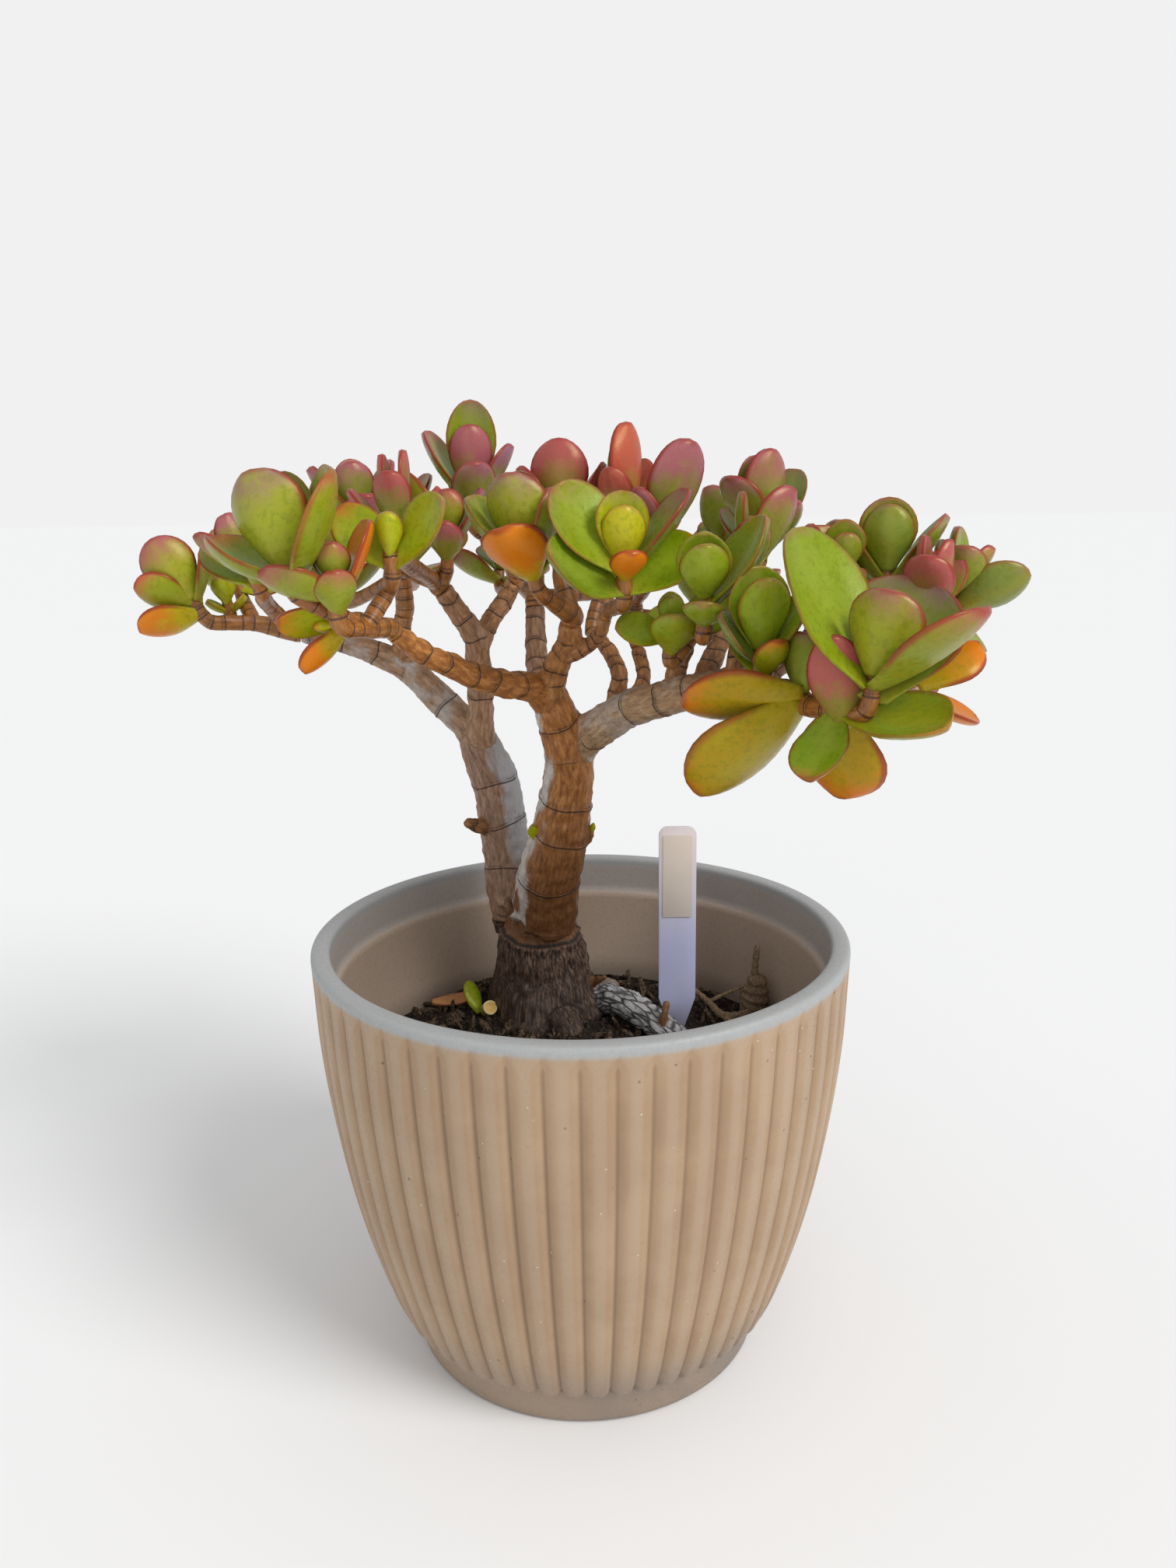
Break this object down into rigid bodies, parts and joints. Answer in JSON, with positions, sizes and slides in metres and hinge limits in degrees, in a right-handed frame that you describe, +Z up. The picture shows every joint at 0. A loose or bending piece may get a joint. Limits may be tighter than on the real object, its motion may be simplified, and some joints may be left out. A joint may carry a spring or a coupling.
{
  "type": "jade bonsai in a pot",
  "caption": "Jade plant grown as a small tree, with a thick forked trunk, crosswise pairs of fleshy leaves, a plant label and a fluted round pot of soil",
  "frame": {"origin": "centre of the pot's flat underside", "axes": "+Z up along the pot's axis, -Y toward the viewer of the tree's front, +X to the viewer's right"},
  "size_m": [0.3369, 0.2808, 0.3899],
  "materials": {
    "pot": "satin",
    "soil": "rough",
    "bark": "rough",
    "leaf": "soft gloss",
    "label": "satin",
    "sticker": "satin",
    "dry_leaf": "matte",
    "cut_leaf": "satin",
    "dry_wood": "rough"
  },
  "bodies": {
    "root": {"pot": "pot", "soil": "soil", "trunk_and_branches": "bark", "spray_far_left": "leaf", "spray_left_front": "leaf", "spray_left_middle": "leaf", "spray_crown_top": "leaf", "spray_hind_left": "leaf", "spray_hind": "leaf", "spray_centre": "leaf", "spray_lime": "leaf", "spray_tall_red": "leaf", "spray_back": "leaf", "spray_green": "leaf", "spray_side": "leaf", "spray_pink_edge": "leaf", "spray_green_cup": "leaf", "spray_upper_right": "leaf", "spray_right_front": "leaf", "spray_right_side": "leaf", "plant_label": "label", "label_sticker": "sticker", "fallen_leaf": "dry_leaf", "green_leaf_bit": "cut_leaf", "yellow_leaf_bit": "dry_leaf", "cut_leaf_end": "cut_leaf", "dry_twigs": "dry_wood"}
  },
  "joints": []
}
